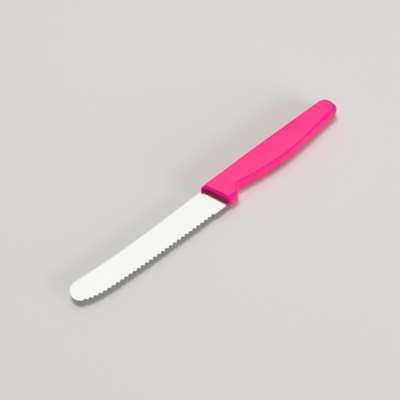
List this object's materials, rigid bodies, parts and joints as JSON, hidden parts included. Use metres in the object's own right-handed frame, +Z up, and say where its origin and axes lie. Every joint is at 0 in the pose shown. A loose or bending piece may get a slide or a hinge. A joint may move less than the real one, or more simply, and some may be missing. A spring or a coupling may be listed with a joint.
{
  "type": "tomato knife",
  "caption": "Straight kitchen knife with a round tip, a fine wavy edge and a moulded plastic handle with a finger notch and a small guard.",
  "frame": {"origin": "middle of the bounding box's underside, on the surface that the knife lies on", "axes": "+X from the blade's tip to the handle's butt, +Y from the cutting edge to the back, +Z up out of the flat side that faces up"},
  "size_m": [0.2124, 0.0205, 0.012],
  "materials": {
    "steel": "finely ground and polished stainless sheet",
    "plastic": "smooth pink moulded polyamide, satin to glossy"
  },
  "bodies": {
    "root": {"blade": "steel", "handle": "plastic"}
  },
  "joints": []
}
